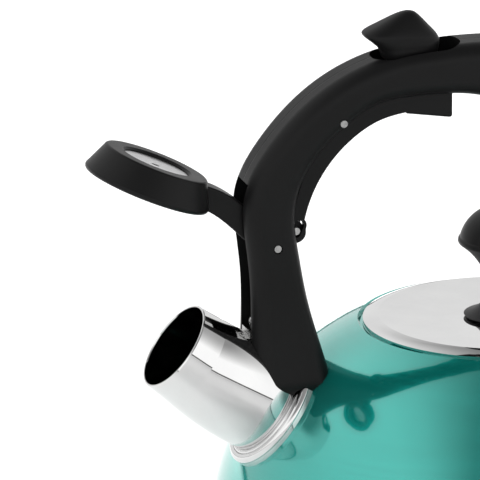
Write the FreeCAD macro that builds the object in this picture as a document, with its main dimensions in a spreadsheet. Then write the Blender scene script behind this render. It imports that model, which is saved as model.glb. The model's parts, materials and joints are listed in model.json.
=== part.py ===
# Stovetop whistling kettle, in millimetres.
# +Z is up, the origin is the centre of the base on the stove, the spout points towards -X,
# and the handle, the whistle and the trigger lie in the plane Y = 0.

import FreeCAD, Part
import math
import os
import Sketcher

Vector = FreeCAD.Vector
UP = Vector(0, 0, 1)
ACROSS = Vector(0, 1, 0)
MIDDLE = Vector(0, 0, 0)

doc = FreeCAD.newDocument("WhistlingKettle")
sheet = doc.addObject("Spreadsheet::Sheet", "Dims")

DIMENSIONS = [
    # body and base
    ("wall", 1.0),
    ("side_arc_radius", 88.8),
    ("side_arc_centre", 18.9),
    ("side_arc_height", 34.7),
    ("base_plate_radius", 92.0),
    ("base_plate_thick", 5.0),
    ("foot_radius", 94.0),
    ("foot_top", 12.0),
    ("neck_radius", 45.0),
    ("ledge_radius", 52.6),
    ("ledge_height", 114.8),
    ("neck_depth", 8.0),
    # lid
    ("lid_radius", 51.6),
    ("lid_gap", 0.3),
    ("lid_wall", 0.8),
    ("lid_rim_tall", 1.9),
    ("lid_crown_radius", 46.0),
    ("lid_crown_height", 118.7),
    ("lid_dish_height", 117.2),
    ("skirt_radius", 43.6),
    ("skirt_bottom", 104.0),
    ("lid_knob_radius", 14.2),
    ("lid_knob_neck", 4.8),
    ("lid_knob_head", 16.5),
    ("lid_knob_top", 160.0),
    # spout, measured along its own axis from the body to the mouth
    ("spout_root_x", -89.5),
    ("spout_root_z", 88.5),
    ("spout_rise", 37.3),
    ("spout_length", 46.7),
    ("spout_wall", 0.9),
    ("mouth_radius", 17.5),
    ("belly_radius", 19.2),
    ("root_radius", 17.9),
    ("flange_radius", 22.3),
    ("flange_thick", 2.6),
    # handle arch
    ("arch_centre_x", -29.3),
    ("arch_centre_z", 148.8),
    ("arch_radius", 75.9),
    ("handle_half_width", 11.5),
    ("foot_half_width", 18.6),
    ("edge_round", 6.5),
    ("cavity_half_width", 5.6),
    ("slot_half_width", 6.2),
    ("slot_top", 178.0),
    # whistle
    ("arm_pivot_x", -89.9),
    ("arm_pivot_z", 154.0),
    ("arm_swing", 75.0),
    ("link_reach", 9.88),
    ("link_angle", 25.79),
    ("cap_stand_off", 2.83),
    ("cap_drop", 0.9),
    ("cap_cavity", 4.2),
    ("cap_radius", 24.2),
    ("cap_top_radius", 19.8),
    ("cap_tall", 11.5),
    ("disc_radius", 12.6),
    ("disc_thick", 0.6),
    ("pin_radius", 1.35),
    ("pin_play", 0.05),
    ("pin_recess_radius", 1.8),
    ("pin_recess_depth", 1.2),
    # trigger
    ("lever_pivot_x", -64.6),
    ("lever_pivot_z", 199.7),
    ("lever_half_width", 5.0),
    ("fork_half_gap", 2.7),
    ("tail_half_width", 2.4),
    ("block_front", -39.0),
    ("block_rear", -21.2),
    ("block_bottom_front", 199.7),
    ("block_bottom_rear", 196.8),
    ("spring_radius", 2.2),
    ("spring_wire", 0.35),
    ("spring_seat_x", -80.5),
    ("spring_seat_z", 178.0),
    ("link_pin_radius", 1.4),
    ("lug_radius", 3.9),
    ("lug_slot_in", 2.3),
    ("lug_slot_out", 0.6),
    ("knob_slot_half_width", 8.5),
    ("knob_slot_front", -51.0),
    ("knob_slot_rear", -17.3),
    ("screw_radius", 1.5),
    ("screw_head_radius", 2.8),
]

for row, (alias, number) in enumerate(DIMENSIONS, start=1):
    sheet.set("A%d" % row, alias)
    sheet.set("B%d" % row, str(number))
    sheet.setAlias("B%d" % row, alias)
doc.recompute()


def dim(alias):
    return float(sheet.get(alias))


def value(expression):
    return float(sheet.evalExpression(expression))


def side(x, z, y=0.0):
    return Vector(x, y, z)


def polar(centre, radius, degrees):
    angle = math.radians(degrees)
    return side(centre.x + radius * math.cos(angle), centre.z + radius * math.sin(angle))


# ---------------------------------------------------------------- sketches bound to the sheet

def origin_plane(body, role):
    return [item for item in body.Origin.OriginFeatures if item.Role == role][0]


def pin_point(sketch, edge, end, corner):
    """Hold one point of a sketch at its two expressions."""
    spot = corner["spot"]
    for kind, words, axis, number in (
        ("DistanceX", corner["across"], -2, spot.x),
        ("DistanceY", corner["along"], -1, spot.y),
    ):
        if abs(number) < 1e-9:
            sketch.addConstraint(Sketcher.Constraint("PointOnObject", edge, end, axis))
            continue
        index = sketch.addConstraint(Sketcher.Constraint(kind, -1, 1, edge, end, number))
        sketch.setExpression("Constraints[%d]" % index, words)


def draw(sketch, outline):
    """Close an outline of corners; ("arc", across, along) bends the edge through a point."""
    corners = []
    for item in outline:
        across, along = item[-2], item[-1]
        spot = Vector(value(across), value(along), 0)
        corners.append({"bend": len(item) == 3, "across": across, "along": along, "spot": spot})
    stops = [index for index, corner in enumerate(corners) if not corner["bend"]]
    edges = []
    for order, index in enumerate(stops):
        start = corners[index]
        finish = corners[stops[(order + 1) % len(stops)]]
        following = corners[(index + 1) % len(corners)]
        bend = following if following["bend"] else None
        if bend:
            shape = Part.Arc(start["spot"], bend["spot"], finish["spot"])
        else:
            shape = Part.LineSegment(start["spot"], finish["spot"])
        edge = sketch.addGeometry(shape)
        begins = 1 if sketch.getPoint(edge, 1).distanceToPoint(start["spot"]) < 1e-6 else 2
        edges.append((edge, begins, start, bend))
    for order, (edge, begins, start, bend) in enumerate(edges):
        next_edge, next_begins = edges[(order + 1) % len(edges)][:2]
        sketch.addConstraint(
            Sketcher.Constraint("Coincident", edge, 3 - begins, next_edge, next_begins)
        )
        pin_point(sketch, edge, begins, start)
        if bend:
            marker = sketch.addGeometry(Part.Point(bend["spot"]), True)
            pin_point(sketch, marker, 1, bend)
            sketch.addConstraint(Sketcher.Constraint("PointOnObject", marker, 1, edge))


def new_sketch(body, name, role):
    sketch = body.newObject("Sketcher::SketchObject", name)
    sketch.AttachmentSupport = [(origin_plane(body, role), "")]
    sketch.MapMode = "FlatFace"
    return sketch


def turned(name, outline):
    """A piece turned about its own Z axis: corners are (radius, height)."""
    body = doc.addObject("PartDesign::Body", name)
    sketch = new_sketch(body, name + "_outline", "XZ_Plane")
    draw(sketch, outline)
    turn = body.newObject("PartDesign::Revolution", name + "_turn")
    turn.Profile = sketch
    turn.ReferenceAxis = (sketch, ["V_Axis"])
    turn.Angle = 360
    return body


def place(piece, x, z, turn):
    """Stand a piece at (x, z) with its Z axis turned about Y; all three are expressions."""
    piece.Placement = FreeCAD.Placement(side(value(x), value(z)), FreeCAD.Rotation(ACROSS, value(turn)))
    piece.setExpression("Placement.Base.x", x)
    piece.setExpression("Placement.Base.z", z)
    piece.setExpression("Placement.Rotation.Angle", "(" + turn + ") * 1 deg")


def cut(name, base, *tools):
    for number, tool in enumerate(tools, start=1):
        result = doc.addObject("Part::Cut", name if number == len(tools) else "%s_%d" % (name, number))
        result.Base = base
        result.Tool = tool
        base = result
    return base


def rod(name, radius, x, z, low, high):
    """A round bar along Y, from low to high; every size is an expression."""
    bar = doc.addObject("Part::Cylinder", name)
    bar.Placement = FreeCAD.Placement(side(value(x), value(z), value(low)), FreeCAD.Rotation(Vector(1, 0, 0), -90))
    bar.setExpression("Radius", radius)
    bar.setExpression("Height", "(" + high + ") - (" + low + ")")
    bar.setExpression("Placement.Base.x", x)
    bar.setExpression("Placement.Base.z", z)
    bar.setExpression("Placement.Base.y", low)
    return bar


def modelled(name, shape):
    """A piece whose shape is worked out in code from the sheet's sizes."""
    piece = doc.addObject("Part::Feature", name)
    piece.Shape = shape
    return piece


def cylinder(radius, start, finish):
    along = finish - start
    return Part.makeCylinder(radius, along.Length, start, along)


def plate(corners, low, high):
    """Extrude a closed outline of the plane Y = 0 from y = low to y = high."""
    wire = Part.makePolygon([side(x, z, low) for x, z in corners + corners[:1]])
    return Part.Face(wire).extrude(Vector(0, high - low, 0))


def box(low, high):
    size = high - low
    return Part.makeBox(size.x, size.y, size.z, low)


def sector(centre, radius, first, last, half_width):
    """A slice of a round plate about a centre in the plane Y = 0, between two angles."""
    start = polar(centre, radius, first)
    middle = polar(centre, radius, (first + last) / 2)
    finish = polar(centre, radius, last)
    wire = Part.Wire([
        Part.makeLine(centre, start),
        Part.Arc(start, middle, finish).toShape(),
        Part.makeLine(finish, centre),
    ])
    wire.translate(Vector(0, -half_width, 0))
    return Part.Face(wire).extrude(Vector(0, 2 * half_width, 0))


def cross_pin(radius, spot, low, high):
    return cylinder(radius, side(spot.x, spot.z, low), side(spot.x, spot.z, high))


def smooth(points):
    curve = Part.BSplineCurve()
    curve.interpolate(points)
    return curve.toShape()


# ---------------------------------------------------------------- body, base and neck

SIDE_AT = (
    "Dims.side_arc_height + sqrt((Dims.side_arc_radius{0})^2 - ({1} - Dims.side_arc_centre)^2)"
)
EDGE_AT = (
    "Dims.side_arc_centre + sqrt((Dims.side_arc_radius{0})^2 - ({1} - Dims.side_arc_height)^2)"
)
INSET = " - Dims.wall"
SIDE_BULGE = "Dims.side_arc_centre + Dims.side_arc_radius"

kettle_shell = turned("kettle_shell", [
    (EDGE_AT.format("", "Dims.foot_top"), "Dims.foot_top"),
    ("arc", SIDE_BULGE, "Dims.side_arc_height"),
    ("Dims.ledge_radius + 1", SIDE_AT.format("", "(Dims.ledge_radius + 1)")),
    ("Dims.ledge_radius", "Dims.ledge_height"),
    ("Dims.neck_radius + 1", "Dims.ledge_height"),
    ("Dims.neck_radius", "Dims.ledge_height - 1"),
    ("Dims.neck_radius", "Dims.ledge_height - Dims.neck_depth"),
    ("Dims.neck_radius + Dims.wall", "Dims.ledge_height - Dims.neck_depth"),
    ("Dims.neck_radius + Dims.wall", "Dims.ledge_height - 2.5"),
    ("Dims.ledge_radius", "Dims.ledge_height - Dims.wall - 0.6"),
    ("Dims.ledge_radius + 1", SIDE_AT.format(INSET, "(Dims.ledge_radius + 1)")),
    ("arc", SIDE_BULGE + INSET, "Dims.side_arc_height"),
    (EDGE_AT.format(INSET, "Dims.foot_top"), "Dims.foot_top"),
])

# the bottom pan, welded to the shell above the foot
body_bottom = turned("body_bottom", [
    ("0", "Dims.base_plate_thick"),
    ("Dims.foot_radius", "Dims.base_plate_thick"),
    ("arc", "Dims.foot_radius + 6", "Dims.base_plate_thick + 2"),
    (EDGE_AT.format("", "Dims.foot_top"), "Dims.foot_top"),
    (EDGE_AT.format(INSET, "Dims.foot_top"), "Dims.foot_top"),
    ("arc", "Dims.foot_radius + 5.3", "Dims.base_plate_thick + 2.9"),
    ("Dims.foot_radius", "Dims.base_plate_thick + Dims.wall"),
    ("0", "Dims.base_plate_thick + Dims.wall"),
])

# the outside of the body as one solid, which trims what stands on it
body_envelope = turned("body_envelope", [
    ("0", "0"),
    ("Dims.foot_radius", "0"),
    (EDGE_AT.format("", "Dims.foot_top"), "Dims.foot_top"),
    ("arc", SIDE_BULGE, "Dims.side_arc_height"),
    ("Dims.ledge_radius + 1", SIDE_AT.format("", "(Dims.ledge_radius + 1)")),
    ("0", SIDE_AT.format("", "(Dims.ledge_radius + 1)")),
])

SPOUT_TURN = "Dims.spout_rise - 90"
spout_bore = doc.addObject("Part::Cylinder", "spout_bore")
spout_bore.setExpression("Radius", "Dims.root_radius")
spout_bore.Height = 20
place(
    spout_bore,
    "Dims.spout_root_x + 10 * cos(Dims.spout_rise * 1 deg)",
    "Dims.spout_root_z - 10 * sin(Dims.spout_rise * 1 deg)",
    SPOUT_TURN,
)
kettle_body = cut("kettle_body", kettle_shell, spout_bore)

base_plate = turned("base_plate", [
    ("0", "0"),
    ("Dims.base_plate_radius - 1.5", "0"),
    ("Dims.base_plate_radius", "1.5"),
    ("Dims.base_plate_radius", "Dims.base_plate_thick"),
    ("0", "Dims.base_plate_thick"),
])

lid_seat_ring = turned("lid_seat_ring", [
    ("Dims.neck_radius - 0.8", "Dims.ledge_height - Dims.neck_depth - 2"),
    ("Dims.neck_radius", "Dims.ledge_height - Dims.neck_depth - 2"),
    ("Dims.neck_radius", "Dims.ledge_height - Dims.neck_depth"),
    ("Dims.neck_radius", "Dims.ledge_height - 1.5"),
    ("Dims.neck_radius - 0.8", "Dims.ledge_height - 1.5"),
])

# ---------------------------------------------------------------- lid

lid_shell = turned("lid_shell", [
    ("Dims.lid_radius - Dims.lid_wall", "Dims.ledge_height + Dims.lid_gap"),
    ("Dims.lid_radius", "Dims.ledge_height + Dims.lid_gap"),
    ("Dims.lid_radius", "Dims.ledge_height + Dims.lid_gap + Dims.lid_rim_tall"),
    ("arc", "Dims.lid_radius - 1.9", "Dims.lid_crown_height - 0.9"),
    ("Dims.lid_crown_radius", "Dims.lid_crown_height"),
    ("arc", "Dims.lid_crown_radius * 0.55", "Dims.lid_dish_height + 0.6"),
    ("5", "Dims.lid_dish_height"),
    ("2.2", "Dims.lid_dish_height"),
    ("2.2", "Dims.lid_dish_height - Dims.lid_wall"),
    ("5", "Dims.lid_dish_height - Dims.lid_wall"),
    ("arc", "Dims.lid_crown_radius * 0.55", "Dims.lid_dish_height + 0.6 - Dims.lid_wall"),
    ("Dims.lid_crown_radius", "Dims.lid_crown_height - Dims.lid_wall"),
    ("arc", "Dims.lid_radius - 2.5", "Dims.lid_crown_height - 1.6"),
    ("Dims.lid_radius - Dims.lid_wall", "Dims.ledge_height + Dims.lid_gap + Dims.lid_rim_tall"),
])

lid_skirt = turned("lid_skirt", [
    ("Dims.skirt_radius - 0.8", "Dims.skirt_bottom"),
    ("Dims.skirt_radius", "Dims.skirt_bottom"),
    ("Dims.skirt_radius", "Dims.lid_crown_height - Dims.lid_wall - 0.2"),
    ("Dims.skirt_radius - 0.8", "Dims.lid_crown_height - Dims.lid_wall - 0.2"),
])

lid_knob = turned("lid_knob", [
    ("2.0", "Dims.lid_dish_height + 0.4"),
    ("Dims.lid_knob_radius - 0.6", "Dims.lid_dish_height + 0.7"),
    ("Dims.lid_knob_radius", "Dims.lid_dish_height + 1.4"),
    ("arc", "Dims.lid_knob_neck + 3.0", "Dims.lid_dish_height + 5.2"),
    ("Dims.lid_knob_neck", "Dims.lid_dish_height + 11"),
    ("arc", "Dims.lid_knob_neck + 1.6", "Dims.lid_dish_height + 16.5"),
    ("Dims.lid_knob_head - 0.8", "Dims.lid_knob_top - 14.4"),
    ("arc", "Dims.lid_knob_head", "Dims.lid_knob_top - 13.1"),
    ("Dims.lid_knob_head - 0.7", "Dims.lid_knob_top - 11.8"),
    ("arc", "Dims.lid_knob_head * 0.62", "Dims.lid_knob_top - 3.2"),
    ("1.0", "Dims.lid_knob_top"),
    ("0", "Dims.lid_knob_top"),
    ("0", "Dims.lid_dish_height + 16"),
    ("2.0", "Dims.lid_dish_height + 16"),
])

lid_knob_washer = turned("lid_knob_washer", [
    ("2.2", "Dims.lid_dish_height - Dims.lid_wall - 1"),
    ("4.8", "Dims.lid_dish_height - Dims.lid_wall - 1"),
    ("4.8", "Dims.lid_dish_height - Dims.lid_wall"),
    ("2.2", "Dims.lid_dish_height - Dims.lid_wall"),
])

lid_knob_screw = turned("lid_knob_screw", [
    ("0", "Dims.lid_dish_height - Dims.lid_wall - 3.6"),
    ("3.2", "Dims.lid_dish_height - Dims.lid_wall - 3.2"),
    ("3.8", "Dims.lid_dish_height - Dims.lid_wall - 1"),
    ("2.0", "Dims.lid_dish_height - Dims.lid_wall - 1"),
    ("2.0", "Dims.lid_dish_height + 14"),
    ("0", "Dims.lid_dish_height + 14"),
])

# ---------------------------------------------------------------- spout

spout_tube = turned("spout_tube", [
    ("Dims.root_radius - Dims.spout_wall", "-4"),
    ("Dims.root_radius", "-4"),
    ("Dims.root_radius", "2"),
    ("arc", "Dims.belly_radius", "Dims.spout_length * 0.36"),
    ("Dims.mouth_radius + 0.7", "Dims.spout_length - 10"),
    ("Dims.mouth_radius", "Dims.spout_length - 0.4"),
    ("Dims.mouth_radius - 0.3", "Dims.spout_length"),
    ("Dims.mouth_radius - Dims.spout_wall + 0.1", "Dims.spout_length"),
    ("Dims.mouth_radius - Dims.spout_wall", "Dims.spout_length - 0.4"),
    ("Dims.mouth_radius + 0.7 - Dims.spout_wall", "Dims.spout_length - 10"),
    ("arc", "Dims.belly_radius - Dims.spout_wall", "Dims.spout_length * 0.36"),
    ("Dims.root_radius - Dims.spout_wall", "2"),
])
place(spout_tube, "Dims.spout_root_x", "Dims.spout_root_z", SPOUT_TURN)

flange_blank = turned("flange_blank", [
    ("Dims.root_radius", "-6"),
    ("Dims.flange_radius", "-6"),
    ("Dims.flange_radius", "Dims.flange_thick - 3.2"),
    ("arc", "Dims.flange_radius - 0.75", "Dims.flange_thick - 1.15"),
    ("Dims.flange_radius - 2.6", "Dims.flange_thick - 0.9"),
    ("Dims.flange_radius - 2.9", "Dims.flange_thick - 1.4"),
    ("arc", "Dims.root_radius + 0.8", "Dims.flange_thick - 0.5"),
    ("Dims.root_radius", "Dims.flange_thick - 0.8"),
])
place(flange_blank, "Dims.spout_root_x", "Dims.spout_root_z", SPOUT_TURN)
spout_flange = cut("spout_flange", flange_blank, body_envelope)

# the spout as one solid with its flange, which trims the handle's foot
spout_envelope = turned("spout_envelope", [
    ("0", "-8"),
    ("Dims.flange_radius + 0.05", "-8"),
    ("Dims.flange_radius + 0.05", "Dims.flange_thick - 1.4"),
    ("Dims.flange_radius - 2.3", "Dims.flange_thick + 0.05"),
    ("Dims.root_radius + 0.25", "Dims.flange_thick + 0.05"),
    ("arc", "Dims.belly_radius + 0.05", "Dims.spout_length * 0.36"),
    ("Dims.mouth_radius + 0.8", "Dims.spout_length - 10"),
    ("Dims.mouth_radius + 0.1", "Dims.spout_length + 5"),
    ("0", "Dims.spout_length + 5"),
])
place(spout_envelope, "Dims.spout_root_x", "Dims.spout_root_z", SPOUT_TURN)

# ---------------------------------------------------------------- whistle, drawn open

ARM_PIVOT = side(dim("arm_pivot_x"), dim("arm_pivot_z"))
LEVER_PIVOT = side(dim("lever_pivot_x"), dim("lever_pivot_z"))
ARCH_CENTRE = side(dim("arch_centre_x"), dim("arch_centre_z"))
LINK = polar(ARM_PIVOT, dim("link_reach"), dim("link_angle"))
SEAT = side(dim("spring_seat_x"), dim("spring_seat_z"))

spout_direction = polar(MIDDLE, 1.0, 180 - dim("spout_rise"))
closed_base = side(dim("spout_root_x"), dim("spout_root_z"))
closed_base = closed_base + spout_direction * (dim("spout_length") - dim("cap_stand_off"))
closed_base = closed_base + polar(MIDDLE, dim("cap_drop"), -90 - dim("spout_rise"))
opening = FreeCAD.Rotation(ACROSS, dim("arm_swing"))
CAP_BASE = ARM_PIVOT + opening.multVec(closed_base - ARM_PIVOT)
CAP_PLACE = FreeCAD.Placement(CAP_BASE, FreeCAD.Rotation(ACROSS, dim("spout_rise") - 90 + dim("arm_swing")))


def on_cap(piece):
    piece.Placement = CAP_PLACE
    return piece


cap_shell = on_cap(turned("cap_shell", [
    ("19.0", "0"),
    ("Dims.cap_radius - 0.8", "0"),
    ("arc", "Dims.cap_radius", "0.9"),
    ("Dims.cap_radius - 0.2", "2.2"),
    ("Dims.cap_top_radius + 0.5", "Dims.cap_tall - 1.0"),
    ("arc", "Dims.cap_top_radius + 0.1", "Dims.cap_tall - 0.3"),
    ("Dims.cap_top_radius - 0.7", "Dims.cap_tall"),
    ("Dims.disc_radius + 1.0", "Dims.cap_tall"),
    ("Dims.disc_radius + 0.1", "Dims.cap_tall - 0.8"),
    ("Dims.disc_radius + 0.1", "Dims.cap_tall - 1.8"),
    ("Dims.disc_radius - 1.6", "Dims.cap_tall - 1.8"),
    ("Dims.disc_radius - 1.6", "7.0"),
    ("Dims.disc_radius + 0.1", "7.0"),
    ("Dims.disc_radius + 0.1", "Dims.cap_cavity"),
    ("19.0", "Dims.cap_cavity"),
]))

whistle_disc_upper = on_cap(turned("whistle_disc_upper", [
    ("1.6", "Dims.cap_tall - 1.8"),
    ("Dims.disc_radius", "Dims.cap_tall - 1.8"),
    ("Dims.disc_radius", "Dims.cap_tall - 1.8 + Dims.disc_thick"),
    ("3.0", "Dims.cap_tall - 1.8 + Dims.disc_thick"),
    ("1.6", "Dims.cap_tall - 1.8 + Dims.disc_thick * 0.5"),
]))

whistle_disc_lower = on_cap(turned("whistle_disc_lower", [
    ("1.6", "6.4"),
    ("Dims.disc_radius", "6.4"),
    ("Dims.disc_radius", "7.0"),
    ("1.6", "7.0"),
]))

cap_seal = on_cap(turned("cap_seal", [
    ("14.4", "Dims.cap_cavity - 1.1"),
    ("18.9", "Dims.cap_cavity - 1.1"),
    ("18.9", "Dims.cap_cavity"),
    ("14.4", "Dims.cap_cavity"),
]))


def arm_shape():
    """A cranked arm from the cap's side, through the handle's slot, to its tail at the link pin."""
    hub_radius = 5.0
    tail_radius = 3.4
    neck_half_tall = 4.4
    half_wide = 4.6
    across_cap = CAP_PLACE.Rotation.multVec(Vector(1, 0, 0))
    root = CAP_BASE + across_cap * (dim("cap_radius") - 3.5) + CAP_PLACE.Rotation.multVec(UP) * 4.7
    bend = side(-101.2, 163.6)
    crank = side(-95.6, 158.4)
    spine = Part.BSplineCurve()
    spine.interpolate([root, bend, crank, ARM_PIVOT])
    steps = 14
    first, last = spine.FirstParameter, spine.LastParameter
    upper, lower = [], []
    for step in range(steps + 1):
        share = step / steps
        spot = spine.value(first + (last - first) * share)
        along = spine.tangent(first + (last - first) * share)[0]
        normal = Vector(-along.z, 0, along.x)
        reach = neck_half_tall + (hub_radius - neck_half_tall) * share
        upper.append(spot + normal * reach)
        lower.append(spot - normal * reach)
    outline = Part.Wire([
        smooth(upper),
        Part.makeLine(upper[-1], lower[-1]),
        smooth(lower[::-1]),
        Part.makeLine(lower[0], upper[0]),
    ])
    outline.translate(Vector(0, -half_wide, 0))
    arm = Part.Face(outline).extrude(Vector(0, 2 * half_wide, 0))
    long_edges = [edge for edge in arm.Edges if edge.BoundBox.YLength < 0.1 and edge.Length > 15]
    arm = arm.makeFillet(0.8, long_edges)
    hub_end = side(0, 0, half_wide)
    arm = arm.fuse(cylinder(hub_radius, ARM_PIVOT - hub_end, ARM_PIVOT + hub_end))
    tail_end = side(0, 0, dim("tail_half_width"))
    tail_side = (LINK - ARM_PIVOT).normalize().cross(ACROSS) * tail_radius
    tail = plate(
        [(spot.x, spot.z) for spot in (
            ARM_PIVOT + tail_side, LINK + tail_side, LINK - tail_side, ARM_PIVOT - tail_side)],
        -dim("tail_half_width"), dim("tail_half_width"),
    )
    arm = arm.fuse([tail, cylinder(tail_radius, LINK - tail_end, LINK + tail_end)])
    bore = dim("pin_radius") + dim("pin_play")
    far = side(0, 0, 20)
    arm = arm.cut(cylinder(bore, ARM_PIVOT - far, ARM_PIVOT + far))
    arm = arm.cut(cylinder(dim("link_pin_radius"), LINK - far, LINK + far))
    lug_room = sector(ARM_PIVOT, 12, -45, 112, 20).cut(
        sector(ARM_PIVOT, 13, -60, 130, dim("tail_half_width")))
    cap_middle = Part.makeCylinder(dim("cap_radius") - 3, dim("cap_tall"))
    cap_middle.Placement = CAP_PLACE
    return arm.cut([lug_room, cap_middle, cap_shell.Shape]).removeSplitter()


doc.recompute()
whistle_arm = modelled("whistle_arm", arm_shape())

# ---------------------------------------------------------------- handle arch

LEFT, RIGHT = -1, 1
WIDE = 30.0


def handle_blank():
    """The whole arch: its side outline and its front outline, crossed and rounded."""
    outer = smooth([
        side(-97.6, 96.0),
        side(-98.8, 121.0),
        side(-99.3, 140.0),
        side(-101.3, 158.0),
        polar(ARCH_CENTRE, dim("arch_radius"), 163),
        polar(ARCH_CENTRE, dim("arch_radius"), 145),
        polar(ARCH_CENTRE, dim("arch_radius") - 0.3, 125),
        polar(ARCH_CENTRE, dim("arch_radius") - 0.3, 105),
        side(-22.0, 225.1),
        side(2.0, 224.5),
        side(30.0, 217.8),
        side(54.0, 202.5),
        side(71.3, 180.3),
        side(80.7, 155.0),
        side(83.2, 128.0),
        side(82.6, 92.0),
    ])
    inner = smooth([
        side(60.0, 92.0),
        side(60.8, 120.0),
        side(60.0, 142.0),
        side(53.0, 164.0),
        side(39.0, 182.5),
        side(22.0, 194.0),
        side(4.0, 200.2),
        side(-14.0, 205.6),
        side(-34.0, 206.6),
        side(-50.9, 204.4),
        side(-64.3, 196.1),
        side(-74.6, 185.5),
        side(-80.8, 173.0),
        side(-82.0, 163.0),
        side(-80.4, 150.0),
        side(-77.3, 132.7),
        side(-73.2, 116.9),
        side(-67.7, 96.0),
    ])
    ends = [edge.Vertexes for edge in (outer, inner)]
    outline = Part.Wire([
        outer,
        Part.makeLine(ends[0][-1].Point, ends[1][0].Point),
        inner,
        Part.makeLine(ends[1][-1].Point, ends[0][0].Point),
    ])
    outline.translate(Vector(0, -WIDE, 0))
    arch = Part.Face(outline).extrude(Vector(0, 2 * WIDE, 0))

    half = dim("handle_half_width")
    foot = dim("foot_half_width")
    flare = Part.BSplineCurve()
    flare.interpolate(
        Points=[
            Vector(0, foot, 92),
            Vector(0, half + (foot - half) * 0.62, 104),
            Vector(0, half + (foot - half) * 0.22, 122),
            Vector(0, half, 150),
        ],
    )
    right = [flare.toShape(), Part.makeLine(Vector(0, half, 150), Vector(0, half, 235))]
    mirrored = [edge.mirror(MIDDLE, ACROSS) for edge in right]
    front = Part.Wire(Part.__sortEdges__(
        right + mirrored + [
            Part.makeLine(Vector(0, half, 235), Vector(0, -half, 235)),
            Part.makeLine(Vector(0, foot, 92), Vector(0, -foot, 92)),
        ]
    ))
    front.translate(Vector(-120, 0, 0))
    slab = Part.Face(front).extrude(Vector(240, 0, 0))
    blank = arch.common(slab)

    corners = [edge for edge in blank.Edges if runs_along(edge)]
    return blank.makeFillet(dim("edge_round"), corners)


def runs_along(edge):
    """True for the long edges of the arch, where its side meets its back or its inside."""
    box = edge.BoundBox
    return box.YLength < 9 and box.YMax * box.YMin > 0 and box.ZMax > 92.5 and box.DiagonalLength > 12


CAVITY_RADIUS = 67.2
CAVITY_REAR = -18.2
SLOT_FLOOR = -88.0
BRACKET_FACE = -94.0
BRACKET_THICK = 1.4


def handle_hollow():
    """What the arch leaves free: the lever's cavity, the front slot and the knob's slot."""
    half = dim("cavity_half_width")
    lever_room = sector(ARCH_CENTRE, CAVITY_RADIUS, 84, 176, half)
    block_room = box(side(-50, 190, -half), side(CAVITY_REAR, 216, half))
    slot = plate(
        [
            (-125, 100), (BRACKET_FACE, 100), (BRACKET_FACE, 128.5), (SLOT_FLOOR, 131),
            (-83.0, 147.5), (-60, 147.5), (-60, dim("slot_top") - 8), (-84, dim("slot_top")),
            (-125, dim("slot_top")),
        ],
        -dim("slot_half_width"), dim("slot_half_width"),
    )
    wide = dim("knob_slot_half_width")
    knob_slot = box(
        side(dim("knob_slot_front"), 208.8, -wide),
        side(dim("knob_slot_rear"), 250, wide),
    )
    uprights = [edge for edge in knob_slot.Edges if edge.BoundBox.ZLength > 10]
    knob_slot = knob_slot.makeFillet(wide - 1.0, uprights)
    return [lever_room, block_room, slot, knob_slot]


# ---------------------------------------------------------------- brackets, pins and screws

FRONT_SCREW_Z = 123.0
REAR_SCREW_HEIGHTS = (113.5, 121.5)
REAR_FACE = 70.0
REAR_HEAD_SEAT = 79.5
JOINING_SPOTS = [side(-84.0, 137.5), side(-79.0, 197.5), side(-4.0, 213.0), side(46.0, 190.0), side(70.5, 152.0)]
JOINING_SEAT = 8.0

doc.recompute()

front_bracket = modelled("front_bracket", plate(
    [
        (BRACKET_FACE, 127.0), (BRACKET_FACE, 105.0), (-98.8, 105.0), (-98.8, 121.2),
        (BRACKET_FACE - BRACKET_THICK, 118.8), (BRACKET_FACE - BRACKET_THICK, 127.0),
    ],
    -5.2, 5.2,
).cut([spout_envelope.Shape, body_envelope.Shape]))

rear_bracket = modelled("rear_bracket", plate(
    [
        (REAR_FACE, 126.0), (REAR_FACE, 109.4), (64.5, 113.0), (64.5, 95.0), (77.5, 95.0),
        (77.5, 103.6), (REAR_FACE + BRACKET_THICK, 108.2), (REAR_FACE + BRACKET_THICK, 126.0),
    ],
    -6.0, 6.0,
).cut(body_envelope.Shape))


def screw(head_radius, shank_radius, under_head, along, head_thick, length):
    """A pan-head screw with a cross slot; along points from the head to the tip."""
    top = under_head - along * head_thick
    head = cylinder(head_radius, top, under_head)
    shank = cylinder(shank_radius, under_head, under_head + along * length)
    solid = head.fuse(shank).removeSplitter()
    rim = [edge for edge in solid.Edges if (edge.CenterOfMass - top).Length < 0.01 and len(edge.Vertexes) == 1]
    solid = solid.makeFillet(head_thick * 0.45, rim)
    sideways = along.cross(ACROSS) if abs(along.y) < 0.5 else Vector(1, 0, 0)
    for direction in (sideways, along.cross(sideways)):
        reach = direction * head_radius * 0.62
        wide = direction.cross(along) * 0.35
        bottom = top + along * head_thick * 0.5
        corners = [bottom - reach - wide, bottom + reach - wide, bottom + reach + wide, bottom - reach + wide]
        groove = Part.Face(Part.makePolygon(corners + corners[:1])).extrude(along * -head_thick)
        solid = solid.cut(groove)
    return solid


BACKWARD = Vector(1, 0, 0)
front_screw_seat = side(BRACKET_FACE - BRACKET_THICK, FRONT_SCREW_Z)
front_bracket_screw = modelled(
    "front_bracket_screw",
    screw(2.6, dim("screw_radius"), front_screw_seat, BACKWARD, 1.8, 13.0),
)
rear_bracket_screws = modelled("rear_bracket_screws", Part.makeCompound([
    screw(dim("screw_head_radius"), dim("screw_radius"), side(REAR_HEAD_SEAT, height), -BACKWARD, 2.0, 13.0)
    for height in REAR_SCREW_HEIGHTS
]))
handle_screws = modelled("handle_screws", Part.makeCompound([
    screw(dim("screw_head_radius"), dim("screw_radius"), spot + ACROSS * JOINING_SEAT, -ACROSS, 2.0, 15.0)
    for spot in JOINING_SPOTS
]))

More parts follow.
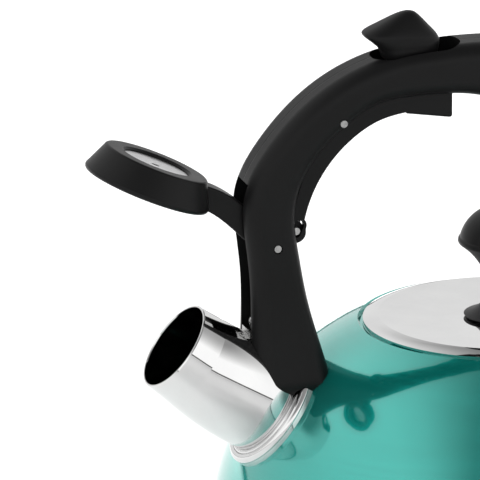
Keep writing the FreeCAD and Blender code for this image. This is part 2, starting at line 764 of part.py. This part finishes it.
front_bracket.Shape = front_bracket.Shape.cut(
    cylinder(dim("screw_radius"), front_screw_seat, front_screw_seat + BACKWARD * 5))
rear_bracket.Shape = rear_bracket.Shape.cut([
    cylinder(dim("screw_radius"), side(REAR_FACE - 5, height), side(REAR_FACE + 8, height))
    for height in REAR_SCREW_HEIGHTS
])

PIN_END = "Dims.handle_half_width - 0.3"
PIN_START = "0.3 - Dims.handle_half_width"
arm_pivot_pin = rod("arm_pivot_pin", "Dims.pin_radius", "Dims.arm_pivot_x", "Dims.arm_pivot_z", PIN_START, PIN_END)
lever_pivot_pin = rod(
    "lever_pivot_pin", "Dims.pin_radius", "Dims.lever_pivot_x", "Dims.lever_pivot_z", PIN_START, PIN_END)
link_pin = rod(
    "link_pin",
    "Dims.link_pin_radius",
    "Dims.arm_pivot_x + Dims.link_reach * cos(Dims.link_angle * 1 deg)",
    "Dims.arm_pivot_z + Dims.link_reach * sin(Dims.link_angle * 1 deg)",
    "-Dims.lever_half_width",
    "Dims.lever_half_width",
)

SEAT_STEM_RADIUS = 1.7
SEAT_CUP_RADIUS = 2.4
SEAT_ANGLE = math.degrees(math.atan2(SEAT.z - ARCH_CENTRE.z, SEAT.x - ARCH_CENTRE.x))
seat_stem = cylinder(SEAT_STEM_RADIUS, SEAT + UP * 1.2, polar(ARCH_CENTRE, CAVITY_RADIUS + 4, SEAT_ANGLE))
seat_cup = Part.makeCylinder(SEAT_CUP_RADIUS, 1.2, SEAT)
spring_seat = modelled("spring_seat", seat_stem.fuse(seat_cup).removeSplitter())


def spring_shape():
    """The toggle spring, from its seat to the end of the arm's tail."""
    coils = 8
    top = SEAT
    along = (LINK - SEAT).normalize()
    length = (LINK - SEAT).Length - 3.6
    wire_radius = dim("spring_wire")
    mean_radius = dim("spring_radius") - wire_radius
    rise = length - 2 * wire_radius
    helix = Part.makeHelix(rise / coils, rise, mean_radius)
    ring = Part.Wire(Part.makeCircle(wire_radius, Vector(mean_radius, 0, 0), ACROSS))
    coil = Part.Wire(helix).makePipeShell([ring], True, True)
    coil.Placement = FreeCAD.Placement(top + along * wire_radius, FreeCAD.Rotation(UP, along))
    return coil


toggle_spring = modelled("toggle_spring", spring_shape())

# ---------------------------------------------------------------- handle halves


def handle_halves():
    blank = handle_blank()
    tools = [spout_envelope.Shape, body_envelope.Shape] + handle_hollow()
    tools += [front_bracket.Shape, rear_bracket.Shape]
    reach = 40
    for spot in (ARM_PIVOT, LEVER_PIVOT):
        tools.append(cross_pin(dim("pin_radius"), spot, -reach, reach))
        recess = dim("handle_half_width") - dim("pin_recess_depth")
        tools.append(cross_pin(dim("pin_recess_radius"), spot, -reach, -recess))
        tools.append(cross_pin(dim("pin_recess_radius"), spot, recess, reach))
    tools.append(seat_stem)
    tools.append(cylinder(dim("screw_radius"), front_screw_seat, front_screw_seat + BACKWARD * 13.0))
    for height in REAR_SCREW_HEIGHTS:
        seat = side(REAR_HEAD_SEAT, height)
        tools.append(cylinder(dim("screw_radius"), seat - BACKWARD * 13.0, seat))
        tools.append(cylinder(dim("screw_head_radius") + 0.3, seat, seat + BACKWARD * 20))
    for spot in JOINING_SPOTS:
        seat = spot + ACROSS * JOINING_SEAT
        tools.append(cylinder(dim("screw_radius"), seat - ACROSS * 15.0, seat))
        tools.append(cylinder(dim("screw_head_radius") + 0.3, seat, seat + ACROSS * 20))
    whole = blank
    for tool in tools:
        whole = whole.cut(tool)
    halves = []
    for hand in (LEFT, RIGHT):
        room = box(Vector(-200, min(0, hand * WIDE), 0), Vector(200, max(0, hand * WIDE), 300))
        halves.append(whole.common(room))
    return halves


left_shape, right_shape = handle_halves()
handle_left = modelled("handle_left", left_shape)
handle_right = modelled("handle_right", right_shape)

# ---------------------------------------------------------------- trigger


def lever_shape():
    """A curved bar inside the arch, with a forked lug below and a finger block under the grip."""
    half = dim("lever_half_width")
    low_end, block_end = 167, 99
    outside = smooth([
        polar(ARCH_CENTRE, radius, angle)
        for angle, radius in ((low_end, 54.8), (150, 57.0), (136, 59.6), (122, 62.4), (108, 61.6), (block_end, 61.2))
    ])
    ends = [vertex.Point for vertex in outside.Vertexes]
    inside = smooth([
        polar(ARCH_CENTRE, radius, angle)
        for angle, radius in (
            (block_end, 52.4), (103, 52.6), (111, 53.1), (121, 52.9), (132, 52.3), (144, 51.6), (156, 50.9),
            (low_end, 50.3))
    ])
    inner_ends = [vertex.Point for vertex in inside.Vertexes]
    outline = Part.Wire([
        outside,
        Part.makeLine(ends[1], inner_ends[0]),
        inside,
        Part.makeLine(inner_ends[1], ends[0]),
    ])
    outline.translate(Vector(0, -half, 0))
    bar = Part.Face(outline).extrude(Vector(0, 2 * half, 0))
    boss = cross_pin(4.6, LEVER_PIVOT, -half, half)
    block_top = 210.0
    block = plate(
        [
            (dim("block_front"), dim("block_bottom_front")), (dim("block_front"), block_top),
            (dim("block_rear"), block_top), (dim("block_rear"), dim("block_bottom_rear")),
        ],
        -half, half,
    )
    corners = [edge for edge in block.Edges if edge.BoundBox.ZMax < dim("block_bottom_front") + 0.1]
    block = block.makeFillet(1.2, corners)
    stem = box(side(-43.0, 202.0, -half + 0.2), side(-29.0, 220.5, half - 0.2))
    toward_pivot = (LEVER_PIVOT - LINK).normalize()
    slot_top = LINK + toward_pivot * dim("lug_slot_in")
    slot_low = LINK - toward_pivot * dim("lug_slot_out")
    beside = toward_pivot.cross(ACROSS)
    lever = bar.fuse([boss, block, stem])
    play = dim("link_pin_radius") + 0.6
    for low_radius, top_radius, join in ((dim("lug_radius"), dim("lug_radius") - 0.8, True), (play, play, False)):
        reach = half if join else 20
        strip = plate(
            [(spot.x, spot.z) for spot in (
                slot_low + beside * low_radius, slot_top + beside * top_radius,
                slot_top - beside * top_radius, slot_low - beside * low_radius)],
            -reach, reach,
        )
        ends = [cross_pin(low_radius, slot_low, -reach, reach), cross_pin(top_radius, slot_top, -reach, reach)]
        lever = lever.fuse([strip] + ends) if join else lever.cut([strip] + ends)
    fork = sector(ARCH_CENTRE, 75, 140, 184, dim("fork_half_gap"))
    bore = cross_pin(dim("pin_radius") + dim("pin_play"), LEVER_PIVOT, -20, 20)
    return lever.cut([fork, bore]).removeSplitter()


trigger_lever = modelled("trigger_lever", lever_shape())


def thumb_knob_shape():
    """A leaning cone with a rounded widest edge, built up from ovals across the grip."""
    ovals = (
        {"height": 220.5, "middle": -36.5, "half_long": 10.0, "half_wide": 6.9, "lean": 0},
        {"height": 224.0, "middle": -36.9, "half_long": 11.2, "half_wide": 7.2, "lean": 0},
        {"height": 226.2, "middle": -38.3, "half_long": 12.9, "half_wide": 7.8, "lean": 2},
        {"height": 228.2, "middle": -39.8, "half_long": 14.2, "half_wide": 8.0, "lean": 4},
        {"height": 229.8, "middle": -39.9, "half_long": 13.4, "half_wide": 7.7, "lean": 4},
        {"height": 232.6, "middle": -39.0, "half_long": 9.6, "half_wide": 6.2, "lean": 3},
        {"height": 235.9, "middle": -37.8, "half_long": 5.1, "half_wide": 3.8, "lean": 1},
        {"height": 237.8, "middle": -37.0, "half_long": 1.6, "half_wide": 1.3, "lean": 0},
    )
    levels = [oval["height"] for oval in ovals]
    lengths = Part.BSplineCurve()
    lengths.interpolate(
        Points=[Vector(oval["middle"], oval["half_long"], oval["lean"]) for oval in ovals],
        Parameters=levels,
    )
    widths = Part.BSplineCurve()
    widths.interpolate(
        Points=[Vector(oval["half_wide"], oval["height"], 0) for oval in ovals],
        Parameters=levels,
    )
    bands = 20
    rings = []
    for band in range(bands + 1):
        height = levels[0] + (levels[-1] - levels[0]) * band / bands
        middle, half_long, lean = lengths.value(height)
        ring = Part.Wire(Part.Ellipse(MIDDLE, half_long, widths.value(height).x).toShape())
        ring.Placement = FreeCAD.Placement(side(middle, height), FreeCAD.Rotation(ACROSS, lean))
        rings.append(ring)
    return Part.makeLoft(rings, True, True)


thumb_knob = modelled("thumb_knob", thumb_knob_shape())

# ---------------------------------------------------------------- names, checks and files

PARTS = {
    "kettle_body": kettle_body,
    "body_bottom": body_bottom,
    "base_plate": base_plate,
    "lid_seat_ring": lid_seat_ring,
    "lid_shell": lid_shell,
    "lid_skirt": lid_skirt,
    "lid_knob": lid_knob,
    "lid_knob_washer": lid_knob_washer,
    "lid_knob_screw": lid_knob_screw,
    "spout_tube": spout_tube,
    "spout_flange": spout_flange,
    "whistle_cap": cap_shell,
    "whistle_disc_upper": whistle_disc_upper,
    "whistle_disc_lower": whistle_disc_lower,
    "cap_seal": cap_seal,
    "whistle_arm": whistle_arm,
    "link_pin": link_pin,
    "toggle_spring": toggle_spring,
    "spring_seat": spring_seat,
    "arm_pivot_pin": arm_pivot_pin,
    "lever_pivot_pin": lever_pivot_pin,
    "trigger_lever": trigger_lever,
    "thumb_knob": thumb_knob,
    "handle_left": handle_left,
    "handle_right": handle_right,
    "handle_screws": handle_screws,
    "front_bracket": front_bracket,
    "front_bracket_screw": front_bracket_screw,
    "rear_bracket": rear_bracket,
    "rear_bracket_screws": rear_bracket_screws,
}

doc.recompute()
faults = []
for item in doc.Objects:
    if "Invalid" in item.State or "Error" in item.State:
        faults.append(item.Name)
for node, piece in PARTS.items():
    piece.Label = node
    if piece.Shape.isNull() or not piece.Shape.isValid():
        faults.append(node)
if faults:
    raise RuntimeError("failed: " + ", ".join(faults))

os.makedirs("parts", exist_ok=True)
for node, piece in PARTS.items():
    piece.Shape.exportStep("parts/%s.step" % node)
    print(node, "solids", len(piece.Shape.Solids), "volume", round(piece.Shape.Volume, 1))
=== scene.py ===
"""The looks of the stovetop whistling kettle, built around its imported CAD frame, in metres."""

import json
import math

import bpy
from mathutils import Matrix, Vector


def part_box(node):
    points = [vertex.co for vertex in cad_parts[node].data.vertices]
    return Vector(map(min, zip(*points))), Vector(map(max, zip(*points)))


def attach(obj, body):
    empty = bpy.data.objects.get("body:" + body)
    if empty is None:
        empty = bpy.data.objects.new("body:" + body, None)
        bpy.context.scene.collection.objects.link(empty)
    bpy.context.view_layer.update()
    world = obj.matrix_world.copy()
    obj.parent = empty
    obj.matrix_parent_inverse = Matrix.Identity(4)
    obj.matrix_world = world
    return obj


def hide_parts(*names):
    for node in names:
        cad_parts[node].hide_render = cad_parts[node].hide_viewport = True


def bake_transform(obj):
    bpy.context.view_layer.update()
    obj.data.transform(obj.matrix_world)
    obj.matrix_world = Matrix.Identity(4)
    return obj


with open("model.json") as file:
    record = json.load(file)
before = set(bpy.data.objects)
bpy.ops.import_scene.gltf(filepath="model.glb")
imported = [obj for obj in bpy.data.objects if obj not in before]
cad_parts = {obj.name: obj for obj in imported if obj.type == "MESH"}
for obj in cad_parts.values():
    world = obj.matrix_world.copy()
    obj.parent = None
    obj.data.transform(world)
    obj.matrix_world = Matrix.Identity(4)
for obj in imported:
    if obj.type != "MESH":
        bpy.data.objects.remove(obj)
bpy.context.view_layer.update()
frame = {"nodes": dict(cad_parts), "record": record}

MM = 0.001
ACROSS = Vector((0, 1, 0))

# the middle of a noise's range, where nearly all of its values lie
NOISE_LOW, NOISE_HIGH = 0.3, 0.7


def spot(x, z, y=0.0):
    """A place in the row frame, given in millimetres."""
    return Vector((x * MM, y * MM, z * MM))


# ---------------------------------------------------------------- materials

def link(tree, source, target):
    tree.links.new(source, target)


def new_material(name):
    material = bpy.data.materials.new(name)
    material.use_nodes = True
    tree = material.node_tree
    return material, tree, tree.nodes["Principled BSDF"]


def object_place(tree, stretch=(1, 1, 1)):
    """The place in the row frame, stretched for directional grain."""
    place = tree.nodes.new("ShaderNodeTexCoord")
    mapping = tree.nodes.new("ShaderNodeMapping")
    mapping.inputs["Scale"].default_value = stretch
    link(tree, place.outputs["Object"], mapping.inputs["Vector"])
    return mapping.outputs["Vector"]


def noise_at(tree, vector, scale, detail=3.0, rough=0.55):
    made = tree.nodes.new("ShaderNodeTexNoise")
    made.inputs["Scale"].default_value = scale
    made.inputs["Detail"].default_value = detail
    made.inputs["Roughness"].default_value = rough
    link(tree, vector, made.inputs["Vector"])
    return made.outputs["Fac"]


def remap(tree, value, low, high, start=0.0, stop=1.0):
    made = tree.nodes.new("ShaderNodeMapRange")
    made.inputs["From Min"].default_value = start
    made.inputs["From Max"].default_value = stop
    made.inputs["To Min"].default_value = low
    made.inputs["To Max"].default_value = high
    link(tree, value, made.inputs["Value"])
    return made.outputs["Result"]


def ramp(tree, value, stops):
    made = tree.nodes.new("ShaderNodeValToRGB")
    band = made.color_ramp
    while len(band.elements) < len(stops):
        band.elements.new(0.5)
    for element, (place, color) in zip(band.elements, stops):
        element.position = place
        element.color = (*color, 1.0)
    link(tree, value, made.inputs["Fac"])
    return made.outputs["Color"]


def grey(value):
    return (value, value, value)


def tinted(tree, shader, value, dark, pale):
    """Base colour that drifts between two tones over the middle of a noise."""
    color = ramp(tree, value, [(NOISE_LOW, dark), (NOISE_HIGH, pale)])
    link(tree, color, shader.inputs["Base Color"])


def roughened(tree, shader, value, low, high):
    """Roughness that drifts between two values over the middle of a noise."""
    link(tree, remap(tree, value, low, high, NOISE_LOW, NOISE_HIGH), shader.inputs["Roughness"])


def math_node(tree, operation, first, second):
    made = tree.nodes.new("ShaderNodeMath")
    made.operation = operation
    for socket, given in zip(made.inputs, (first, second)):
        if isinstance(given, (int, float)):
            socket.default_value = given
        else:
            link(tree, given, socket)
    return made.outputs["Value"]


def bump(tree, shader, height, distance, strength):
    made = tree.nodes.new("ShaderNodeBump")
    made.inputs["Distance"].default_value = distance
    made.inputs["Strength"].default_value = strength
    link(tree, height, made.inputs["Height"])
    link(tree, made.outputs["Normal"], shader.inputs["Normal"])


def turned_place(tree, rings, around):
    """Coordinates for grain that runs round the Z axis: (height, radius, angle)."""
    place = tree.nodes.new("ShaderNodeTexCoord")
    split = tree.nodes.new("ShaderNodeSeparateXYZ")
    link(tree, place.outputs["Object"], split.inputs["Vector"])
    x, y, z = split.outputs
    x_square = math_node(tree, "MULTIPLY", x, x)
    y_square = math_node(tree, "MULTIPLY", y, y)
    radius = math_node(tree, "SQRT", math_node(tree, "ADD", x_square, y_square), 0.0)
    never_zero = math_node(tree, "ADD", radius, 0.5 * MM)
    sine = math_node(tree, "DIVIDE", y, never_zero)
    cosine = math_node(tree, "DIVIDE", x, never_zero)
    joined = tree.nodes.new("ShaderNodeCombineXYZ")
    link(tree, math_node(tree, "MULTIPLY", math_node(tree, "ADD", z, radius), rings), joined.inputs[0])
    link(tree, math_node(tree, "MULTIPLY", sine, around), joined.inputs[1])
    link(tree, math_node(tree, "MULTIPLY", cosine, around), joined.inputs[2])
    return joined.outputs["Vector"]


def teal_enamel():
    """Translucent teal lacquer over spun metal, under a clear gloss coat."""
    material, tree, shader = new_material("teal_enamel")
    spun = noise_at(tree, turned_place(tree, 900.0, 1.6), 1.0, 4.0, 0.6)
    pooling = noise_at(tree, object_place(tree), 9.0, 2.0)
    spun_share = 0.45
    mixed = math_node(
        tree, "ADD",
        math_node(tree, "MULTIPLY", spun, spun_share),
        math_node(tree, "MULTIPLY", pooling, 1 - spun_share),
    )
    color = ramp(tree, mixed, [
        (0.25, (0.004, 0.355, 0.300)),
        (0.55, (0.008, 0.405, 0.345)),
        (0.80, (0.014, 0.450, 0.385)),
    ])
    link(tree, color, shader.inputs["Base Color"])
    shader.inputs["Metallic"].default_value = 0.72
    roughened(tree, shader, spun, 0.10, 0.18)
    shader.inputs["Specular IOR Level"].default_value = 0.0
    shader.inputs["Coat Weight"].default_value = 1.0
    shader.inputs["Coat Roughness"].default_value = 0.02
    shader.inputs["Coat IOR"].default_value = 1.75
    bump(tree, shader, spun, 0.00002, 0.35)
    return material


def polished_steel():
    """Mirror-polished stainless with faint wipe marks."""
    material, tree, shader = new_material("polished_steel")
    wipes = noise_at(tree, object_place(tree, (1.0, 1.0, 0.35)), 45.0, 5.0, 0.65)
    shader.inputs["Metallic"].default_value = 1.0
    tinted(tree, shader, wipes, grey(0.68), (0.74, 0.74, 0.735))
    roughened(tree, shader, wipes, 0.02, 0.06)
    bump(tree, shader, noise_at(tree, object_place(tree), 60.0, 2.0), 0.00003, 0.25)
    return material


def brushed_steel():
    """Stainless brushed in one direction."""
    material, tree, shader = new_material("brushed_steel")
    grain = noise_at(tree, object_place(tree, (60.0, 2200.0, 60.0)), 1.0, 4.0, 0.7)
    shader.inputs["Metallic"].default_value = 1.0
    tinted(tree, shader, grain, (0.60, 0.60, 0.61), grey(0.82))
    roughened(tree, shader, grain, 0.24, 0.42)
    shader.inputs["Anisotropic"].default_value = 0.5
    bump(tree, shader, grain, 0.00004, 0.5)
    return material


def plain_steel():
    """Zinc-plated hardware: pins, screws, spring and brackets."""
    material, tree, shader = new_material("plated_steel")
    mottling = noise_at(tree, object_place(tree), 700.0, 4.0, 0.6)
    shader.inputs["Metallic"].default_value = 1.0
    tinted(tree, shader, mottling, grey(0.30), (0.46, 0.46, 0.45))
    roughened(tree, shader, mottling, 0.16, 0.34)
    bump(tree, shader, mottling, 0.00003, 0.4)
    return material


def soft_black(name, seam=False):
    """Soft-touch moulded plastic with a fine spark-eroded grain; seam draws the groove between two halves."""
    tone, rough, rough_spread = 0.006, 0.42, 0.07
    material, tree, shader = new_material(name)
    place = object_place(tree)
    grain = noise_at(tree, place, 2600.0, 3.0, 0.6)
    cloud = noise_at(tree, place, 38.0, 3.0)
    dark, pale, blue_lift = tone * 0.86, tone * 1.16, 1.03
    tinted(tree, shader, cloud, (dark, dark, dark * blue_lift), (pale, pale, pale * blue_lift))
    half_grain = math_node(tree, "MULTIPLY", grain, 0.5)
    half_cloud = math_node(tree, "MULTIPLY", cloud, 0.5)
    wear = math_node(tree, "ADD", half_grain, half_cloud)
    roughened(tree, shader, wear, rough - rough_spread, rough + rough_spread)
    shader.inputs["Specular IOR Level"].default_value = 0.16
    height = math_node(tree, "MULTIPLY", grain, 0.35)
    if seam:
        split = tree.nodes.new("ShaderNodeSeparateXYZ")
        link(tree, place, split.inputs["Vector"])
        aside = math_node(tree, "ABSOLUTE", split.outputs["Y"], 0.0)
        seam_half_width, seam_depth = 0.35 * MM, 6.0
        line = remap(tree, aside, 0.0, 1.0, 0.0, seam_half_width)
        height = math_node(tree, "ADD", height, math_node(tree, "MULTIPLY", line, seam_depth))
    bump(tree, shader, height, 0.00003, 0.55)
    return material


def seal_rubber():
    """Matte dark silicone."""
    material, tree, shader = new_material("seal_silicone")
    dust = noise_at(tree, object_place(tree), 900.0, 4.0)
    tinted(tree, shader, dust, grey(0.05), grey(0.08))
    roughened(tree, shader, dust, 0.6, 0.8)
    bump(tree, shader, dust, 0.00003, 0.4)
    return material


MATERIALS = {
    "teal_body": teal_enamel(),
    "polished_steel": polished_steel(),
    "brushed_steel": brushed_steel(),
    "black_plastic": soft_black("soft_black"),
    "seal_rubber": seal_rubber(),
    "plain_steel": plain_steel(),
}
handle_black = soft_black("handle_black", seam=True)


# ---------------------------------------------------------------- CAD nodes keep their shapes

def paint(piece, material):
    piece.data.materials.clear()
    piece.data.materials.append(material)


slots = {part["node"]: part["material_slot"] for part in frame["record"]["subparts"]}
for name, piece in frame["nodes"].items():
    paint(piece, MATERIALS[slots[name]])
for name in ("handle_left", "handle_right"):
    paint(frame["nodes"][name], handle_black)


# ---------------------------------------------------------------- pieces finer than their CAD nodes

def add_mesh(name, points, faces, material):
    mesh = bpy.data.meshes.new(name)
    mesh.from_pydata([tuple(point) for point in points], [], faces)
    mesh.polygons.foreach_set("use_smooth", [True] * len(mesh.polygons))
    mesh.update()
    piece = bpy.data.objects.new(name, mesh)
    bpy.context.scene.collection.objects.link(piece)
    paint(piece, material)
    return piece


def skin(name, rings, material):
    """Close a stack of rings of equal count into one solid with capped ends."""
    count = len(rings[0])
    points = [point for ring in rings for point in ring]
    faces = []
    for level in range(len(rings) - 1):
        for step in range(count):
            here, there = level * count + step, level * count + (step + 1) % count
            faces.append((here, there, there + count, here + count))
    faces.append(tuple(range(count))[::-1])
    faces.append(tuple(range(len(points) - count, len(points))))
    return add_mesh(name, points, faces, material)


def between(table, place):
    """Smooth interpolation in a table of rows whose first number climbs."""
    for index in range(len(table) - 1):
        low, high = table[index], table[index + 1]
        if place <= high[0]:
            break
    share = (place - low[0]) / (high[0] - low[0])
    before = table[max(index - 1, 0)]
    after = table[min(index + 2, len(table) - 1)]
    row = []
    for column in range(1, len(low)):
        span = high[0] - low[0]
        start = (high[column] - before[column]) / (high[0] - before[0]) * span
        stop = (after[column] - low[column]) / (after[0] - low[0]) * span
        cube, square = share ** 3, share ** 2
        row.append((2 * cube - 3 * square + 1) * low[column] + (cube - 2 * square + share) * start
                   + (3 * square - 2 * cube) * high[column] + (cube - square) * stop)
    return row


def thumb_knob():
    """The push knob: a leaning, blunt-cornered cone with a soft ridge to its peak."""
    low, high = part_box("thumb_knob")
    tall = high.z - low.z
    ovals = [
        # share of the height, middle, half length, half width, lean in degrees, squareness
        (0.00, -36.5, 10.0, 6.9, 0.0, 3.2),
        (0.22, -36.9, 11.2, 7.2, 0.0, 3.2),
        (0.36, -38.3, 12.9, 7.8, 2.0, 3.0),
        (0.47, -39.8, 14.2, 8.0, 4.0, 2.8),
        (0.56, -39.9, 13.4, 7.7, 4.0, 2.7),
        (0.72, -39.0, 9.6, 6.2, 3.0, 2.6),
        (0.90, -37.8, 5.1, 3.8, 1.0, 2.4),
        (0.97, -37.2, 2.9, 2.3, 0.0, 2.2),
        (1.00, -37.0, 1.3, 1.1, 0.0, 2.0),
    ]
    levels, steps = 72, 96
    rings = []
    for level in range(levels + 1):
        share = level / levels
        middle, half_long, half_wide, lean, square = between(ovals, share)
        slope = math.tan(math.radians(lean))
        ring = []
        for step in range(steps):
            turn = 2 * math.pi * step / steps
            across, along = math.cos(turn), math.sin(turn)
            dx = math.copysign(abs(across) ** (2 / square), across) * half_long
            dy = math.copysign(abs(along) ** (2 / square), along) * half_wide
            height = low.z + share * tall - dx * slope * MM
            ring.append(Vector(((middle + dx) * MM, dy * MM, height)))
        rings.append(ring)
    piece = skin("thumb_knob_shell", rings, MATERIALS["black_plastic"])
    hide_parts("thumb_knob")
    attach(piece, "trigger")


def toggle_spring():
    """The wound wire between its seat and the arm's tail; its ends are closed turns."""
    pin_low, pin_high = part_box("link_pin")
    tail = (Vector(pin_low) + Vector(pin_high)) / 2
    seat = spot(-80.5, 178.0)
    along = (tail - seat).normalized()
    seat_gap, end_gaps = 0.4 * MM, 3.9 * MM
    start = seat + along * seat_gap
    length = (tail - seat).length - end_gaps
    beside = along.cross(ACROSS).normalized()
    outward = along.cross(beside)
    turns, wire, reach = 8.5, 0.34 * MM, 1.85 * MM
    closed_share, closed_climb = 0.09, 0.07
    steps, sides = 420, 12
    rings = []
    path = []
    for step in range(steps + 1):
        share = step / steps
        turn = 2 * math.pi * turns * share
        ease = min(max((share - closed_share) / (1 - 2 * closed_share), 0.0), 1.0)
        climb = wire + (length - 2 * wire) * (closed_climb * share + (1 - closed_climb) * ease)
        radial = beside * math.cos(turn) + outward * math.sin(turn)
        path.append(start + along * climb + radial * reach)
    for step, point in enumerate(path):
        ahead = path[min(step + 1, steps)] - path[max(step - 1, 0)]
        ahead.normalize()
        first = ahead.cross(along).normalized()
        second = ahead.cross(first)
        ring = []
        for side in range(sides):
            angle = 2 * math.pi * side / sides
            ring.append(point + (first * math.cos(angle) + second * math.sin(angle)) * wire)
        rings.append(ring)
    piece = skin("toggle_spring_coil", rings, MATERIALS["plain_steel"])
    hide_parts("toggle_spring")
    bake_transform(piece)


thumb_knob()
toggle_spring()


# ---------------------------------------------------------------- floor, light and camera

def floor():
    """A wide pale floor under the kettle."""
    reach = 6.0
    corners = [(-reach, -reach, 0), (reach, -reach, 0), (reach, reach, 0), (-reach, reach, 0)]
    mesh = bpy.data.meshes.new("floor")
    mesh.from_pydata(corners, [], [(0, 1, 2, 3)])
    piece = bpy.data.objects.new("floor", mesh)
    bpy.context.scene.collection.objects.link(piece)
    material, tree, shader = new_material("studio_floor")
    cloud = noise_at(tree, object_place(tree), 3.0)
    tinted(tree, shader, cloud, grey(0.90), grey(0.92))
    shader.inputs["Roughness"].default_value = 0.9
    paint(piece, material)


def area_light(name, place, target, width, height, power):
    """A soft lamp that lights surfaces but isn't seen in reflections."""
    data = bpy.data.lights.new(name, "AREA")
    data.shape = "RECTANGLE"
    data.size = width
    data.size_y = height
    data.energy = power
    lamp = bpy.data.objects.new(name, data)
    lamp.location = place
    lamp.visible_glossy = False
    lamp.rotation_euler = (Vector(target) - Vector(place)).to_track_quat("-Z", "Y").to_euler()
    bpy.context.scene.collection.objects.link(lamp)


def studio():
    """A white tent: bright walls, a darker ceiling and a thin dark line where the walls meet the floor."""
    world = bpy.data.worlds.new("studio")
    bpy.context.scene.world = world
    bpy.context.scene.view_settings.view_transform = "Standard"
    world.use_nodes = True
    tree = world.node_tree
    place = tree.nodes.new("ShaderNodeTexCoord")
    split = tree.nodes.new("ShaderNodeSeparateXYZ")
    link(tree, place.outputs["Generated"], split.inputs["Vector"])
    x, y, z = split.outputs
    climb = remap(tree, z, 0.0, 1.0, -1.0, 1.0)
    walls = ramp(tree, climb, [
        (0.489, grey(0.85)),
        (0.494, grey(0.02)),
        (0.504, grey(0.02)),
        (0.510, grey(1.35)),
        (1.000, grey(1.35)),
    ])
    depth = remap(tree, y, 1.0, 0.68, -0.6, 0.8)
    ceiling_turn = 0.41
    around = math_node(tree, "SUBTRACT", x, math_node(tree, "MULTIPLY", y, ceiling_turn))
    ceiling = ramp(tree, remap(tree, around, 0.0, 1.0, -1.0, 1.0), [
        (0.20, grey(1.25)),
        (0.28, grey(1.05)),
        (0.39, grey(0.52)),
        (0.44, grey(0.30)),
        (1.00, grey(0.36)),
    ])
    toned = tree.nodes.new("ShaderNodeVectorMath")
    toned.operation = "SCALE"
    link(tree, walls, toned.inputs[0])
    link(tree, depth, toned.inputs["Scale"])
    tent = tree.nodes.new("ShaderNodeMix")
    tent.data_type = "RGBA"
    ceiling_from, ceiling_full = 0.38, 0.62
    link(tree, remap(tree, z, 0.0, 1.0, ceiling_from, ceiling_full), tent.inputs["Factor"])
    link(tree, toned.outputs["Vector"], tent.inputs["A"])
    link(tree, ceiling, tent.inputs["B"])
    background = tree.nodes["Background"]
    link(tree, tent.outputs["Result"], background.inputs["Color"])
    background.inputs["Strength"].default_value = 1.0
    area_light("floor_wash", (0.2, 2.3, 1.7), (0.0, 0.5, 0.0), 2.0, 1.0, 75)


def camera():
    """Looks down at the spout and the handle's front leg from the left."""
    azimuth, elevation = math.radians(-16.6), math.radians(16.7)
    distance = 6.0
    target = Vector((-0.0905, 0.0358, 0.1441))
    back = Vector((
        math.sin(azimuth) * math.cos(elevation),
        -math.cos(azimuth) * math.cos(elevation),
        math.sin(elevation),
    ))
    data = bpy.data.cameras.new("camera")
    data.sensor_width = 36.0
    frame_width = 0.1776  # how much of the world the picture spans at the target
    data.lens = data.sensor_width * distance / frame_width
    data.clip_end = 50.0
    piece = bpy.data.objects.new("camera", data)
    piece.location = target + back * distance
    piece.rotation_euler = (-back).to_track_quat("-Z", "Y").to_euler()
    bpy.context.scene.collection.objects.link(piece)
    bpy.context.scene.camera = piece


floor()
studio()
camera()
